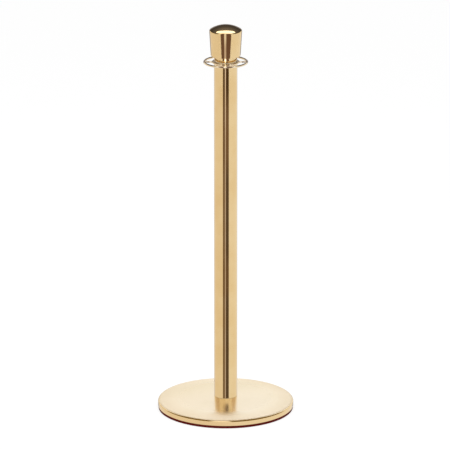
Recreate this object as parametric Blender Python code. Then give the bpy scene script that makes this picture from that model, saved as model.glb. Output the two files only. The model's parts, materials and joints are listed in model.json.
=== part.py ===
"""Rope barrier stanchion: a polished post on a weighted round base, with a rope ring that swivels
under a screw-on crown finial.

Run with: blender --background --python part.py
Metres, +Z up. The origin is the centre of the base, on the floor.
"""

import math

import bmesh
import bpy
from mathutils import Matrix

MM = 0.001

# Driving dimensions, over everything that shows
TOTAL_HEIGHT = 1040 * MM
BASE_DIAMETER = 356 * MM
POST_DIAMETER = 60.3 * MM
RING_DIAMETER = 116 * MM
FINIAL_TOP_DIAMETER = 85 * MM

# Heights above the floor
RIM_BOTTOM = 7 * MM
RIM_TOP = 21.3 * MM
SEAT = 32.5 * MM
RING_PLANE = 941.5 * MM
FINIAL_BOTTOM = 959.7 * MM
FINIAL_WIDEST = 1024.3 * MM

# What rests on its neighbour, or fits in it, keeps this much room
GAP = 0.3 * MM

# Floor ring: soft rubber, held by a tongue that is pressed into a groove under the weight
FLOOR_RING_INNER_RADIUS = 150 * MM
FLOOR_RING_INSET = 1 * MM
FLOOR_RING_CHAMFER = 0.8 * MM
TONGUE_RADIUS = 167 * MM
TONGUE_WIDTH = 5.4 * MM
TONGUE_HEIGHT = 3.6 * MM

# Base cover and the weight inside it
COVER_WALL = 1.2 * MM
COVER_SHOULDER = 4 * MM
COVER_HOLE_RADIUS = 17.5 * MM
COVER_FIT = 0.5 * MM
SEAT_RADIUS = 34 * MM
RECESS_INNER_RADIUS = 42 * MM
RECESS_OUTER_RADIUS = 145 * MM
RECESS_DEPTH = 10 * MM
RECESS_DRAFT = 2 * MM
COUNTERBORE_RADIUS = 30 * MM
COUNTERBORE_CEILING = 21 * MM
BOLT_HOLE_RADIUS = 8.8 * MM

# M16 bolt that pulls the post down onto the base, and its washers
BOLT_RADIUS = 7.9 * MM
BOLT_ACROSS_FLATS = 24 * MM
BOLT_HEAD_HEIGHT = 10 * MM
BOLT_LENGTH = 40 * MM
BOLT_CHAMFER = 1.2 * MM
FLAT_WASHER_RADIUS = 25 * MM
FLAT_WASHER_THICKNESS = 3 * MM
SPRING_WASHER_RADIUS = 13.7 * MM
SPRING_WASHER_THICKNESS = 3.5 * MM
SPRING_WASHER_SPLIT = 2.5 * MM
SPRING_WASHER_SLANT = 25

# Post and the plug pressed into each end
POST_WALL = 1.5 * MM
PLUG_LENGTH = 30 * MM
PLUG_CHAMFER = 1 * MM
FOOT_SPIGOT_RADIUS = 17 * MM
FOOT_HOLE_TO_TOP = 5 * MM
TOP_FLANGE_HEIGHT = 3 * MM
SPIGOT_RADIUS = 13 * MM
SPIGOT_CHAMFER = 0.5 * MM
STUD_HOLE_DEPTH = 24 * MM

# Rope ring, and the nylon bush and washer that it turns on
WIRE_RADIUS = 2.75 * MM
HUB_RADIUS = 35.5 * MM
HUB_THICKNESS = 5 * MM
HUB_ROUNDING = 2 * MM
SPOKE_RADIUS = 2.3 * MM
SPOKE_FLARE = 3 * MM
SPOKE_FLARE_LENGTH = 8 * MM
SPOKE_COUNT = 4
BUSH_WALL = 1.6 * MM
BUSH_FLANGE_RADIUS = 27 * MM
BUSH_THICKNESS = 1.2 * MM

# Finial
FINIAL_WALL = 1.2 * MM
FINIAL_SHOULDER = 4.5 * MM
FINIAL_TAPER = 3.4
NECK_RADIUS = 29.5 * MM
NECK_CHAMFER = 0.8 * MM
NECK_SOCKET_RADIUS = 14 * MM
NECK_SOCKET_DEPTH = 0.8 * MM
FLANGE_RECESS = 0.5 * MM
FLANGE_HEIGHT = 6 * MM
STUD_BOSS_RADIUS = 14 * MM
STUD_BOSS_HEIGHT = 3.5 * MM

# M12 stud of the finial, with its nut and washers
STUD_RADIUS = 5.9 * MM
STUD_REACH = 20 * MM
STUD_LENGTH = 59 * MM
STUD_CHAMFER = 1 * MM
NUT_ACROSS_FLATS = 19 * MM
NUT_HEIGHT = 10 * MM
LOCK_WASHER_RADIUS = 11.5 * MM
LOCK_WASHER_THICKNESS = 2 * MM
CAPTIVE_WASHER_RADIUS = 10.5 * MM
CAPTIVE_WASHER_THICKNESS = 1 * MM

# Facets around a turned piece
BASE_FACETS = 48
POST_FACETS = 40
SMALL_FACETS = 24
WIRE_FACETS = 10

# The base's dome is part of a sphere, blended into the vertical rim by the shoulder's radius
BASE_RADIUS = BASE_DIAMETER / 2
SHOULDER_RADIUS = BASE_RADIUS - COVER_SHOULDER
DOME_RADIUS = (SHOULDER_RADIUS**2 - SEAT_RADIUS**2) / (2 * (SEAT - RIM_TOP))
DOME_CENTRE = SEAT - math.sqrt(DOME_RADIUS**2 - SEAT_RADIUS**2)
SHOULDER_RISE = math.sqrt((DOME_RADIUS - COVER_SHOULDER) ** 2 - SHOULDER_RADIUS**2)

# Heights and radii that follow from the ones above
POST_RADIUS = POST_DIAMETER / 2
POST_BORE_RADIUS = POST_RADIUS - POST_WALL
PLUG_RADIUS = POST_BORE_RADIUS - GAP
POST_BOTTOM = SEAT + GAP
WEIGHT_TOP = SEAT - COVER_WALL - COVER_FIT
FOOT_PLUG_BOTTOM = WEIGHT_TOP + GAP
HUB_BOTTOM = RING_PLANE - HUB_THICKNESS / 2
HUB_TOP = RING_PLANE + HUB_THICKNESS / 2
BUSH_BOTTOM = HUB_BOTTOM - GAP - BUSH_THICKNESS
TOP_FLANGE_TOP = BUSH_BOTTOM - GAP
TOP_FLANGE_BOTTOM = TOP_FLANGE_TOP - TOP_FLANGE_HEIGHT
POST_TOP = TOP_FLANGE_BOTTOM - GAP
RING_WASHER_BOTTOM = HUB_TOP + GAP
NECK_BOTTOM = RING_WASHER_BOTTOM + BUSH_THICKNESS + GAP
SOCKET_CEILING = NECK_BOTTOM + NECK_SOCKET_DEPTH
CAPTIVE_WASHER_BOTTOM = SOCKET_CEILING - GAP - CAPTIVE_WASHER_THICKNESS
SPIGOT_TOP = CAPTIVE_WASHER_BOTTOM - GAP
BUSH_BORE_RADIUS = SPIGOT_RADIUS + GAP
BUSH_RADIUS = BUSH_BORE_RADIUS + BUSH_WALL
HUB_BORE_RADIUS = BUSH_RADIUS + GAP
STUD_HOLE_RADIUS = STUD_RADIUS + GAP
BOLT_THREAD_RADIUS = BOLT_RADIUS + GAP
FLAT_WASHER_BOTTOM = COUNTERBORE_CEILING - GAP - FLAT_WASHER_THICKNESS
SPRING_WASHER_BOTTOM = FLAT_WASHER_BOTTOM - GAP - SPRING_WASHER_THICKNESS
BOLT_HEAD_BOTTOM = SPRING_WASHER_BOTTOM - GAP - BOLT_HEAD_HEIGHT
FLANGE_BOTTOM = FINIAL_BOTTOM + FLANGE_RECESS
FLANGE_TOP = FLANGE_BOTTOM + FLANGE_HEIGHT
STUD_BOSS_TOP = FLANGE_TOP + STUD_BOSS_HEIGHT
LOCK_WASHER_BOTTOM = STUD_BOSS_TOP + GAP
NUT_BOTTOM = LOCK_WASHER_BOTTOM + LOCK_WASHER_THICKNESS + GAP

# The finial's crown is part of a sphere too, blended into its tapered side
CROWN_HEIGHT = TOTAL_HEIGHT - FINIAL_WIDEST
CROWN_EDGE_RADIUS = FINIAL_TOP_DIAMETER / 2 - FINIAL_SHOULDER
CROWN_RADIUS = (CROWN_EDGE_RADIUS**2 + CROWN_HEIGHT**2 - FINIAL_SHOULDER**2) / (
    2 * (CROWN_HEIGHT - FINIAL_SHOULDER)
)


def clear_scene():
    for item in list(bpy.data.objects):
        bpy.data.objects.remove(item)


def colour(name, base, roughness, metallic):
    """A Principled material."""
    material = bpy.data.materials.new(name)
    material.use_nodes = True
    shader = material.node_tree.nodes["Principled BSDF"]
    shader.inputs["Base Color"].default_value = (*base, 1)
    shader.inputs["Roughness"].default_value = roughness
    shader.inputs["Metallic"].default_value = metallic
    return material


def brass(name, roughness):
    return colour(name, (0.80, 0.58, 0.30), roughness, 1)


def steel(name):
    return colour(name, (0.56, 0.56, 0.54), 0.35, 1)


def nylon(name):
    return colour(name, (0.85, 0.84, 0.78), 0.45, 0)


def arc(centre, radius, start, end, steps):
    """Points (radius, height) on a circle, from the start angle to the end angle in degrees."""
    points = []
    for i in range(steps + 1):
        angle = math.radians(start + (end - start) * i / steps)
        points.append((centre[0] + radius * math.cos(angle), centre[1] + radius * math.sin(angle)))
    return points


def solid(mesh, name, material):
    """The closed bmesh as an object at the origin."""
    bmesh.ops.remove_doubles(mesh, verts=mesh.verts, dist=0.001 * MM)
    bmesh.ops.recalc_face_normals(mesh, faces=mesh.faces)
    data = bpy.data.meshes.new(name)
    mesh.to_mesh(data)
    mesh.free()
    data.shade_smooth()
    data.set_sharp_from_angle(angle=math.radians(35))
    if material:
        data.materials.append(material)
    item = bpy.data.objects.new(name, data)
    bpy.context.scene.collection.objects.link(item)
    return item


def lathe(name, outline, material, facets):
    """Turns an outline of (radius, height) points about the post's axis. An outline that starts
    off the axis is closed into a ring."""
    lowest = min(height for _, height in outline)
    mesh = bmesh.new()
    verts = [mesh.verts.new((radius, 0, height - lowest)) for radius, height in outline]
    edges = [mesh.edges.new(pair) for pair in zip(verts, verts[1:])]
    if outline[0][0] > 0:
        edges.append(mesh.edges.new((verts[-1], verts[0])))
    bmesh.ops.spin(
        mesh,
        geom=verts + edges,
        cent=(0, 0, 0),
        axis=(0, 0, 1),
        angle=math.tau,
        steps=facets,
        use_merge=True,
    )
    item = solid(mesh, name, material)
    item.location.z = lowest
    return item


def washer(name, inner, outer, bottom, thickness, material):
    top = bottom + thickness
    outline = [(inner, bottom), (outer, bottom), (outer, top), (inner, top)]
    return lathe(name, outline, material, SMALL_FACETS)


def boolean(item, other, operation):
    """Joins, cuts or intersects the item with a helper shape, which is kept out of the model."""
    other.hide_render = True
    other.display_type = "WIRE"
    step = item.modifiers.new(other.name, "BOOLEAN")
    step.operation = operation
    step.object = other


def hexagon(name, across_flats, bottom, height, material):
    """A hexagonal prism whose corners are chamfered at 30 degrees at both ends."""
    margin = height / 4
    corner = across_flats / 2 / math.cos(math.radians(30))
    mesh = bmesh.new()
    bmesh.ops.create_cone(
        mesh,
        cap_ends=True,
        segments=6,
        radius1=corner,
        radius2=corner,
        depth=height + 2 * margin,
        matrix=Matrix.Translation((0, 0, height / 2)),
    )
    item = solid(mesh, name, material)
    item.location.z = bottom
    face = 0.475 * across_flats
    reach = 1.1 * (corner - face)
    slope = reach * math.tan(math.radians(30))
    top = bottom + height
    outline = [
        (0, bottom),
        (face, bottom),
        (face + reach, bottom + slope),
        (face + reach, top - slope),
        (face, top),
        (0, top),
    ]
    boolean(item, lathe(f"{name}_chamfer", outline, None, SMALL_FACETS), "INTERSECT")
    return item


def rod(name, radius, bottom, top, chamfer, material):
    """A round bar on the post's axis, chamfered at both ends."""
    outline = [
        (0, bottom),
        (radius - chamfer, bottom),
        (radius, bottom + chamfer),
        (radius, top - chamfer),
        (radius - chamfer, top),
        (0, top),
    ]
    return lathe(name, outline, material, SMALL_FACETS)


def base_outline(inset):
    """The base's dome and shoulder, this far inside the cover's outer face, from the seat out."""
    radius = DOME_RADIUS - inset
    start = math.degrees(math.acos(SEAT_RADIUS / radius))
    meet = math.degrees(math.atan2(SHOULDER_RISE, SHOULDER_RADIUS))
    dome = arc((0, DOME_CENTRE), radius, start, meet, 5)
    shoulder_centre = (SHOULDER_RADIUS, DOME_CENTRE + SHOULDER_RISE)
    return dome + arc(shoulder_centre, COVER_SHOULDER - inset, meet, 0, 3)[1:]


def make_floor_ring():
    outer = BASE_RADIUS - FLOOR_RING_INSET
    top = RIM_BOTTOM - GAP
    tongue_inner = TONGUE_RADIUS - TONGUE_WIDTH / 2
    tongue_outer = TONGUE_RADIUS + TONGUE_WIDTH / 2
    outline = [
        (FLOOR_RING_INNER_RADIUS, 0),
        (outer - FLOOR_RING_CHAMFER, 0),
        (outer, FLOOR_RING_CHAMFER),
        (outer, top),
        (tongue_outer, top),
        (tongue_outer, top + TONGUE_HEIGHT),
        (tongue_inner, top + TONGUE_HEIGHT),
        (tongue_inner, top),
        (FLOOR_RING_INNER_RADIUS, top),
    ]
    rubber = colour("maroon_rubber", (0.07, 0.004, 0.002), 0.6, 0)
    return lathe("floor_ring", outline, rubber, BASE_FACETS)


def make_base_weight():
    groove_inner = TONGUE_RADIUS - TONGUE_WIDTH / 2 - GAP
    groove_outer = TONGUE_RADIUS + TONGUE_WIDTH / 2 + GAP
    recess_ceiling = RIM_BOTTOM + RECESS_DEPTH
    top = base_outline(COVER_WALL + COVER_FIT)
    outline = [
        (BOLT_HOLE_RADIUS, top[0][1]),
        *top,
        (top[-1][0], RIM_BOTTOM),
        (groove_outer, RIM_BOTTOM),
        (groove_outer, RIM_BOTTOM + TONGUE_HEIGHT),
        (groove_inner, RIM_BOTTOM + TONGUE_HEIGHT),
        (groove_inner, RIM_BOTTOM),
        (RECESS_OUTER_RADIUS, RIM_BOTTOM),
        (RECESS_OUTER_RADIUS - RECESS_DRAFT, recess_ceiling),
        (RECESS_INNER_RADIUS + RECESS_DRAFT, recess_ceiling),
        (RECESS_INNER_RADIUS, RIM_BOTTOM),
        (COUNTERBORE_RADIUS, RIM_BOTTOM),
        (COUNTERBORE_RADIUS, COUNTERBORE_CEILING),
        (BOLT_HOLE_RADIUS, COUNTERBORE_CEILING),
    ]
    iron = colour("cast_iron", (0.09, 0.09, 0.09), 0.7, 0.8)
    return lathe("base_weight", outline, iron, BASE_FACETS)


def make_base_cover():
    outside = base_outline(0)
    inside = base_outline(COVER_WALL)
    outline = [
        (COVER_HOLE_RADIUS, SEAT),
        *outside,
        (BASE_RADIUS, RIM_BOTTOM),
        (BASE_RADIUS - COVER_WALL, RIM_BOTTOM),
        *reversed(inside),
        (COVER_HOLE_RADIUS, inside[0][1]),
    ]
    satin = colour("satin_brass", (0.88, 0.75, 0.55), 0.4, 1)
    return lathe("base_cover", outline, satin, BASE_FACETS)


def make_base_bolt():
    zinc = steel("zinc_steel_bolt")
    bolt = hexagon("base_bolt", BOLT_ACROSS_FLATS, BOLT_HEAD_BOTTOM, BOLT_HEAD_HEIGHT, zinc)
    bottom = BOLT_HEAD_BOTTOM + BOLT_HEAD_HEIGHT / 2
    top = BOLT_HEAD_BOTTOM + BOLT_HEAD_HEIGHT + BOLT_LENGTH
    shank = rod("base_bolt_shank", BOLT_RADIUS, bottom, top, BOLT_CHAMFER, None)
    boolean(bolt, shank, "UNION")
    return bolt


def make_base_flat_washer():
    return washer(
        "base_flat_washer",
        BOLT_HOLE_RADIUS,
        FLAT_WASHER_RADIUS,
        FLAT_WASHER_BOTTOM,
        FLAT_WASHER_THICKNESS,
        steel("zinc_steel_flat_washer"),
    )


def make_base_spring_washer():
    """A ring split by a slanted cut."""
    ring = washer(
        "base_spring_washer",
        BOLT_HOLE_RADIUS,
        SPRING_WASHER_RADIUS,
        SPRING_WASHER_BOTTOM,
        SPRING_WASHER_THICKNESS,
        steel("spring_steel"),
    )
    length = 2 * SPRING_WASHER_RADIUS
    stretch = Matrix.Diagonal((length, SPRING_WASHER_SPLIT, length, 1))
    mesh = bmesh.new()
    bmesh.ops.create_cube(mesh, size=1, matrix=stretch)
    cutter = solid(mesh, "base_spring_washer_split", None)
    cutter.location = (SPRING_WASHER_RADIUS, 0, SPRING_WASHER_BOTTOM + SPRING_WASHER_THICKNESS / 2)
    cutter.rotation_euler.x = math.radians(SPRING_WASHER_SLANT)
    boolean(ring, cutter, "DIFFERENCE")
    return ring


def make_foot_plug():
    """The threaded plug in the post's foot. Its spigot centres the cover on the post."""
    top = POST_BOTTOM + PLUG_LENGTH
    ceiling = top - FOOT_HOLE_TO_TOP
    outline = [
        (0, ceiling),
        (BOLT_THREAD_RADIUS, ceiling),
        (BOLT_THREAD_RADIUS, FOOT_PLUG_BOTTOM),
        (FOOT_SPIGOT_RADIUS, FOOT_PLUG_BOTTOM),
        (FOOT_SPIGOT_RADIUS, POST_BOTTOM),
        (PLUG_RADIUS, POST_BOTTOM),
        (PLUG_RADIUS, top - PLUG_CHAMFER),
        (PLUG_RADIUS - PLUG_CHAMFER, top),
        (0, top),
    ]
    return lathe("foot_plug", outline, steel("foot_plug_steel"), POST_FACETS)


def make_post_tube():
    outline = [
        (POST_BORE_RADIUS, POST_BOTTOM),
        (POST_RADIUS, POST_BOTTOM),
        (POST_RADIUS, POST_TOP),
        (POST_BORE_RADIUS, POST_TOP),
    ]
    return lathe("post_tube", outline, brass("post_brass", 0.08), POST_FACETS)


def make_top_plug():
    """The plug in the post's top, with the spigot for the rope ring and the thread for the finial."""
    floor = SPIGOT_TOP - STUD_HOLE_DEPTH
    bottom = POST_TOP - PLUG_LENGTH
    outline = [
        (0, floor),
        (STUD_HOLE_RADIUS, floor),
        (STUD_HOLE_RADIUS, SPIGOT_TOP),
        (SPIGOT_RADIUS - SPIGOT_CHAMFER, SPIGOT_TOP),
        (SPIGOT_RADIUS, SPIGOT_TOP - SPIGOT_CHAMFER),
        (SPIGOT_RADIUS, TOP_FLANGE_TOP),
        (POST_RADIUS, TOP_FLANGE_TOP),
        (POST_RADIUS, TOP_FLANGE_BOTTOM),
        (PLUG_RADIUS, TOP_FLANGE_BOTTOM),
        (PLUG_RADIUS, bottom + PLUG_CHAMFER),
        (PLUG_RADIUS - PLUG_CHAMFER, bottom),
        (0, bottom),
    ]
    return lathe("top_plug", outline, brass("plug_brass", 0.1), POST_FACETS)


def make_ring_bush():
    flange_top = BUSH_BOTTOM + BUSH_THICKNESS
    sleeve_top = HUB_TOP - GAP
    outline = [
        (BUSH_BORE_RADIUS, BUSH_BOTTOM),
        (BUSH_FLANGE_RADIUS, BUSH_BOTTOM),
        (BUSH_FLANGE_RADIUS, flange_top),
        (BUSH_RADIUS, flange_top),
        (BUSH_RADIUS, sleeve_top),
        (BUSH_BORE_RADIUS, sleeve_top),
    ]
    return lathe("ring_bush", outline, nylon("bush_nylon"), SMALL_FACETS)


def make_hoop():
    """The round wire hoop that the rope hooks clip to."""
    hoop_radius = RING_DIAMETER / 2 - WIRE_RADIUS
    section = arc((hoop_radius, RING_PLANE), WIRE_RADIUS, 0, 360, WIRE_FACETS)[:-1]
    return lathe("rope_ring_hoop", section, None, POST_FACETS)


def make_spoke(index):
    """A round spoke from inside the hub to the hoop, which widens into the hub in plan."""
    root = HUB_RADIUS - HUB_ROUNDING
    flare_length = HUB_ROUNDING + SPOKE_FLARE_LENGTH
    stations = [root + flare_length * i / 4 for i in range(5)]
    stations.append(RING_DIAMETER / 2 - WIRE_RADIUS)
    mesh = bmesh.new()
    loops = []
    for reach in stations:
        share = max(0, 1 - (reach - root) / flare_length)
        half_width = SPOKE_RADIUS + SPOKE_FLARE * share**2
        loop = []
        for i in range(WIRE_FACETS):
            angle = math.tau * i / WIRE_FACETS
            across = half_width * math.cos(angle)
            loop.append(mesh.verts.new((reach, across, SPOKE_RADIUS * math.sin(angle))))
        loops.append(loop)
    for inner, outer in zip(loops, loops[1:]):
        for i in range(WIRE_FACETS):
            following = (i + 1) % WIRE_FACETS
            mesh.faces.new((inner[i], inner[following], outer[following], outer[i]))
    mesh.faces.new(loops[0])
    mesh.faces.new(loops[-1])
    spoke = solid(mesh, f"rope_ring_spoke_{index}", None)
    spoke.location.z = RING_PLANE
    spoke.rotation_euler.z = math.tau * index / SPOKE_COUNT
    return spoke


def make_rope_ring():
    """The hub disc, with the hoop held round it by its spokes."""
    edge = HUB_RADIUS - HUB_ROUNDING
    outline = [
        (HUB_BORE_RADIUS, HUB_BOTTOM),
        *arc((edge, HUB_BOTTOM + HUB_ROUNDING), HUB_ROUNDING, -90, 0, 3),
        *arc((edge, HUB_TOP - HUB_ROUNDING), HUB_ROUNDING, 0, 90, 3),
        (HUB_BORE_RADIUS, HUB_TOP),
    ]
    ring = lathe("rope_ring", outline, brass("ring_brass", 0.08), POST_FACETS)
    for index in range(SPOKE_COUNT):
        boolean(ring, make_spoke(index), "UNION")
    boolean(ring, make_hoop(), "UNION")
    return ring


def make_ring_washer():
    return washer(
        "ring_washer",
        BUSH_BORE_RADIUS,
        BUSH_FLANGE_RADIUS,
        RING_WASHER_BOTTOM,
        BUSH_THICKNESS,
        nylon("washer_nylon"),
    )


def make_captive_washer():
    return washer(
        "captive_washer",
        STUD_HOLE_RADIUS,
        CAPTIVE_WASHER_RADIUS,
        CAPTIVE_WASHER_BOTTOM,
        CAPTIVE_WASHER_THICKNESS,
        steel("captive_washer_steel"),
    )


def finial_outline(inset):
    """The finial's side and crown, this far inside its outer face, from the bottom edge up."""
    shoulder_centre = (CROWN_EDGE_RADIUS, FINIAL_WIDEST)
    crown_centre = (0, TOTAL_HEIGHT - CROWN_RADIUS)
    meet = math.degrees(math.atan2(FINIAL_WIDEST - crown_centre[1], CROWN_EDGE_RADIUS))
    shoulder = arc(shoulder_centre, FINIAL_SHOULDER - inset, -FINIAL_TAPER, meet, 4)
    side_height = shoulder[0][1] - FINIAL_BOTTOM
    bottom_radius = shoulder[0][0] - side_height * math.tan(math.radians(FINIAL_TAPER))
    crown = arc(crown_centre, CROWN_RADIUS - inset, meet, 90, 6)[1:-1]
    apex = (0, TOTAL_HEIGHT - inset)
    return [(bottom_radius, FINIAL_BOTTOM), *shoulder, *crown, apex]


def make_finial_base():
    """The turned neck and the flange that closes the shell's mouth."""
    flange_radius = finial_outline(FINIAL_WALL)[0][0] - GAP
    outline = [
        (STUD_HOLE_RADIUS, SOCKET_CEILING),
        (NECK_SOCKET_RADIUS, SOCKET_CEILING),
        (NECK_SOCKET_RADIUS, NECK_BOTTOM),
        (NECK_RADIUS - NECK_CHAMFER, NECK_BOTTOM),
        (NECK_RADIUS, NECK_BOTTOM + NECK_CHAMFER),
        (NECK_RADIUS, FLANGE_BOTTOM),
        (flange_radius, FLANGE_BOTTOM),
        (flange_radius, FLANGE_TOP),
        (STUD_BOSS_RADIUS, FLANGE_TOP),
        (STUD_BOSS_RADIUS, STUD_BOSS_TOP),
        (STUD_HOLE_RADIUS, STUD_BOSS_TOP),
    ]
    return lathe("finial_base", outline, brass("finial_base_brass", 0.08), POST_FACETS)


def make_finial_stud():
    bottom = NECK_BOTTOM - STUD_REACH
    top = bottom + STUD_LENGTH
    return rod("finial_stud", STUD_RADIUS, bottom, top, STUD_CHAMFER, steel("zinc_steel_stud"))


def make_finial_lock_washer():
    return washer(
        "finial_lock_washer",
        STUD_HOLE_RADIUS,
        LOCK_WASHER_RADIUS,
        LOCK_WASHER_BOTTOM,
        LOCK_WASHER_THICKNESS,
        steel("lock_washer_steel"),
    )


def make_finial_nut():
    nut = hexagon("finial_nut", NUT_ACROSS_FLATS, NUT_BOTTOM, NUT_HEIGHT, steel("zinc_steel_nut"))
    below = NUT_BOTTOM - NUT_HEIGHT
    above = NUT_BOTTOM + 2 * NUT_HEIGHT
    hole = rod("finial_nut_hole", STUD_HOLE_RADIUS, below, above, STUD_CHAMFER, None)
    boolean(nut, hole, "DIFFERENCE")
    return nut


def make_finial_shell():
    """The hollow crown, open at the bottom."""
    outline = [*reversed(finial_outline(0)), *finial_outline(FINIAL_WALL)]
    return lathe("finial_shell", outline, brass("finial_brass", 0.08), POST_FACETS)


def carry(name, height, items):
    """Parents the items to an empty on the axis that they move about."""
    empty = bpy.data.objects.new(name, None)
    empty.location.z = height
    bpy.context.scene.collection.objects.link(empty)
    for item in items:
        item.parent = empty
        item.location.z -= height
    return empty


def main():
    clear_scene()
    fixed = [
        make_floor_ring(),
        make_base_weight(),
        make_base_cover(),
        make_base_bolt(),
        make_base_flat_washer(),
        make_base_spring_washer(),
        make_foot_plug(),
        make_post_tube(),
        make_top_plug(),
        make_ring_washer(),
    ]
    swivelling = [make_rope_ring(), make_ring_bush()]
    screwed = [
        make_finial_base(),
        make_finial_stud(),
        make_finial_lock_washer(),
        make_finial_nut(),
        make_finial_shell(),
    ]
    lifting = [make_captive_washer(), carry("finial_turn", NECK_BOTTOM, screwed)]
    carry("stanchion", 0, fixed)
    carry("ring_swivel", RING_PLANE, swivelling)
    carry("finial_lift", NECK_BOTTOM, lifting)


main()
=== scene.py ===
"""The looks of a rope barrier stanchion: a polished brass post, rope ring and finial on a satin
base cover, with the fasteners inside, in a plain white studio.

Metres, +Z up, the camera on the -Y side. Outer sizes and heights come from the frame, and the
sizes that the frame doesn't hold are named below.
"""

import json
import math

import bmesh
import bpy
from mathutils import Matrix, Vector


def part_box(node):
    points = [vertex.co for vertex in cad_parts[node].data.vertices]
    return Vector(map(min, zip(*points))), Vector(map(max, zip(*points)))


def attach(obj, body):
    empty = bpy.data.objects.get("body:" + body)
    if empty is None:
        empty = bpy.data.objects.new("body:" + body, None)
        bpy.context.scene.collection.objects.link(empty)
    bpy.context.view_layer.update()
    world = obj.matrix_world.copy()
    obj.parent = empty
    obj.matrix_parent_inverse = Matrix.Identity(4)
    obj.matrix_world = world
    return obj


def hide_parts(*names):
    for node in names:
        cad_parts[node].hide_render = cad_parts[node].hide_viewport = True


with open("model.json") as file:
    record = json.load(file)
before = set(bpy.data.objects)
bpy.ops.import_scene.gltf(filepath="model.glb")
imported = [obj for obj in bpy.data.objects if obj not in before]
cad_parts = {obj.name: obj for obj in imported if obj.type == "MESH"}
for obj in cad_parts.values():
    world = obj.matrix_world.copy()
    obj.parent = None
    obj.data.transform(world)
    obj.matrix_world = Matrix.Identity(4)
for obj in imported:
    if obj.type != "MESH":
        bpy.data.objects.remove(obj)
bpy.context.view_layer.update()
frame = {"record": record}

MM = 0.001

# Camera, a long way off and well above the finial
CAMERA_DISTANCE = 13.73
CAMERA_HEIGHT = 4.67
CAMERA_SIDE = -1.8 * MM
AIM_HEIGHT = 0.5004
FOCAL_LENGTH = 439.8
SENSOR_WIDTH = 36

# The base stays out of the post's reflections
HIDDEN_FROM_REFLECTIONS = ("floor_ring", "base_weight", "base_cover")

# Floor and soft light
FLOOR_SIZE = 60
FLOOR_GLOW = 0.75
SOFTBOX_SIZE = 2
SOFTBOX_HEIGHT = 2.6
SOFTBOX_POWER = 28

# The front card: its size, then the dark gap and the light line that the post and the finial see
# on it. Azimuths are in degrees from the camera's side, positive to the right
FRONT_CARD_RADIUS = 0.15
FRONT_CARD_EDGES = (-42, 42)
FRONT_CARD_HEIGHTS = (-0.03, 1.3)
POST_GAP = (-25.4, 28.0)
FINIAL_GAP = (-28.4, 29.5)
GAP_WIDENING = (-3, 5)
GAP_SOFTNESS = 1.2
POST_LINE = (-6.5, 1.5)
FINIAL_LINE = (-9.5, 3.5)
LINE_SOFTNESS = 0.8
FINIAL_HEIGHTS = (0.896, 0.904)
WIDENING_HEIGHTS = (0.90, 0.985)
NECK_HEIGHT = 0.918
NECK_GLINT = (3.5, 3.4, 3.2)
ECHO_HEIGHTS = (0.93, 0.935)
ECHO_MIDDLE = -6
ECHO_HALF_WIDTH = 10
ECHO_GLINT = (3.0, 3.6, 4.8)
FOOT_HEIGHTS = (0.042, 0.062)

# The crown card, the ceiling and the tent. Only what stands higher than UPPER_PARTS sees the
# first two, and only the base's rim sees the tent
UPPER_PARTS = (0.90, 0.92)
CROWN_CARD_RADIUS = 0.35
CROWN_CARD_EDGES = (52, 308)
CROWN_CARD_HEIGHTS = (0.86, 1.5)
CROWN_DARK_HEIGHTS = (1.08, 1.1)
CROWN_BACK = (136, 144)
CEILING_WIDTH = 4
CEILING_DEPTH = 3
CEILING_HEIGHT = 2.45
STRIP_BOW = 0.5
STRIP_FRONT = (0.22, 0.27)
STRIP_BACK = (0.65, 0.68)
STRIP_LIGHT = (2.4, 2.4, 2.4)
ROOM_DARK = (0.19, 0.175, 0.185)
TENT_RADIUS = 0.6
TENT_HEIGHT = 0.85
TENT_BACK = 0.5
TENT_EDGES = (-100, 100)
TENT_STRIP_MIDDLE = -0.075
TENT_STRIP_HALF_WIDTH = 0.13

# The room all round: where its dim back begins, the middle, half width and edge of each brown
# side, and the sines of the heights over the horizon where its haze clears and its ceiling
# brightens
ROOM_BACK = (148, 172)
BROWN_SIDE = (92, 18, 14)
HAZE = (0.1, 0.5)
OVERHEAD = (0.45, 0.8)

# Facets around a piece, and steps around a rounded corner
BASE_FACETS = 256
POST_FACETS = 192
SMALL_FACETS = 96
WIRE_FACETS = 40
ROUND_STEPS = 5
DOME_STEPS = 24
COVER_SHOULDER_STEPS = 10
FINIAL_SHOULDER_STEPS = 12
CHAMFER_STEPS = 8
SPOKE_STEPS = 24

# A rounded corner gets a loop this far outside each end, which keeps the faces beside it flat
SUPPORT = 0.2 * MM

# Pieces that touch are drawn this far apart
CLOSE_GAP = 0.05 * MM

# Edges that meet at more than this angle, in degrees, are shaded sharp
SHARP_ANGLE = 40

# The usual rounding of a turned edge, and of a cast or moulded one
EDGE_ROUNDING = 0.3 * MM
CAST_ROUNDING = 0.5 * MM

# Base
FLOOR_RING_INNER_RADIUS = 150 * MM
TONGUE_RADIUS = 167 * MM
TONGUE_WIDTH = 5.4 * MM
TONGUE_HEIGHT = 3.6 * MM
GRIP_GROOVES = 5
GRIP_GROOVE_WIDTH = 1.6 * MM
GRIP_GROOVE_DEPTH = 0.7 * MM
RECESS_INNER_RADIUS = 42 * MM
RECESS_OUTER_RADIUS = 145 * MM
RECESS_DEPTH = 10 * MM
RECESS_DRAFT = 2 * MM
COUNTERBORE_RADIUS = 30 * MM
COUNTERBORE_CEILING = 21 * MM
BOLT_HOLE_RADIUS = 8.8 * MM
COVER_WALL = 1.2 * MM
COVER_FIT = 0.5 * MM
COVER_SHOULDER = 4 * MM
COVER_RIM_TOP = 21.3 * MM
BASE_TOP = 32.5 * MM
COVER_HOLE_RADIUS = 17.5 * MM
SEAT_RADIUS = 34 * MM

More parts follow.
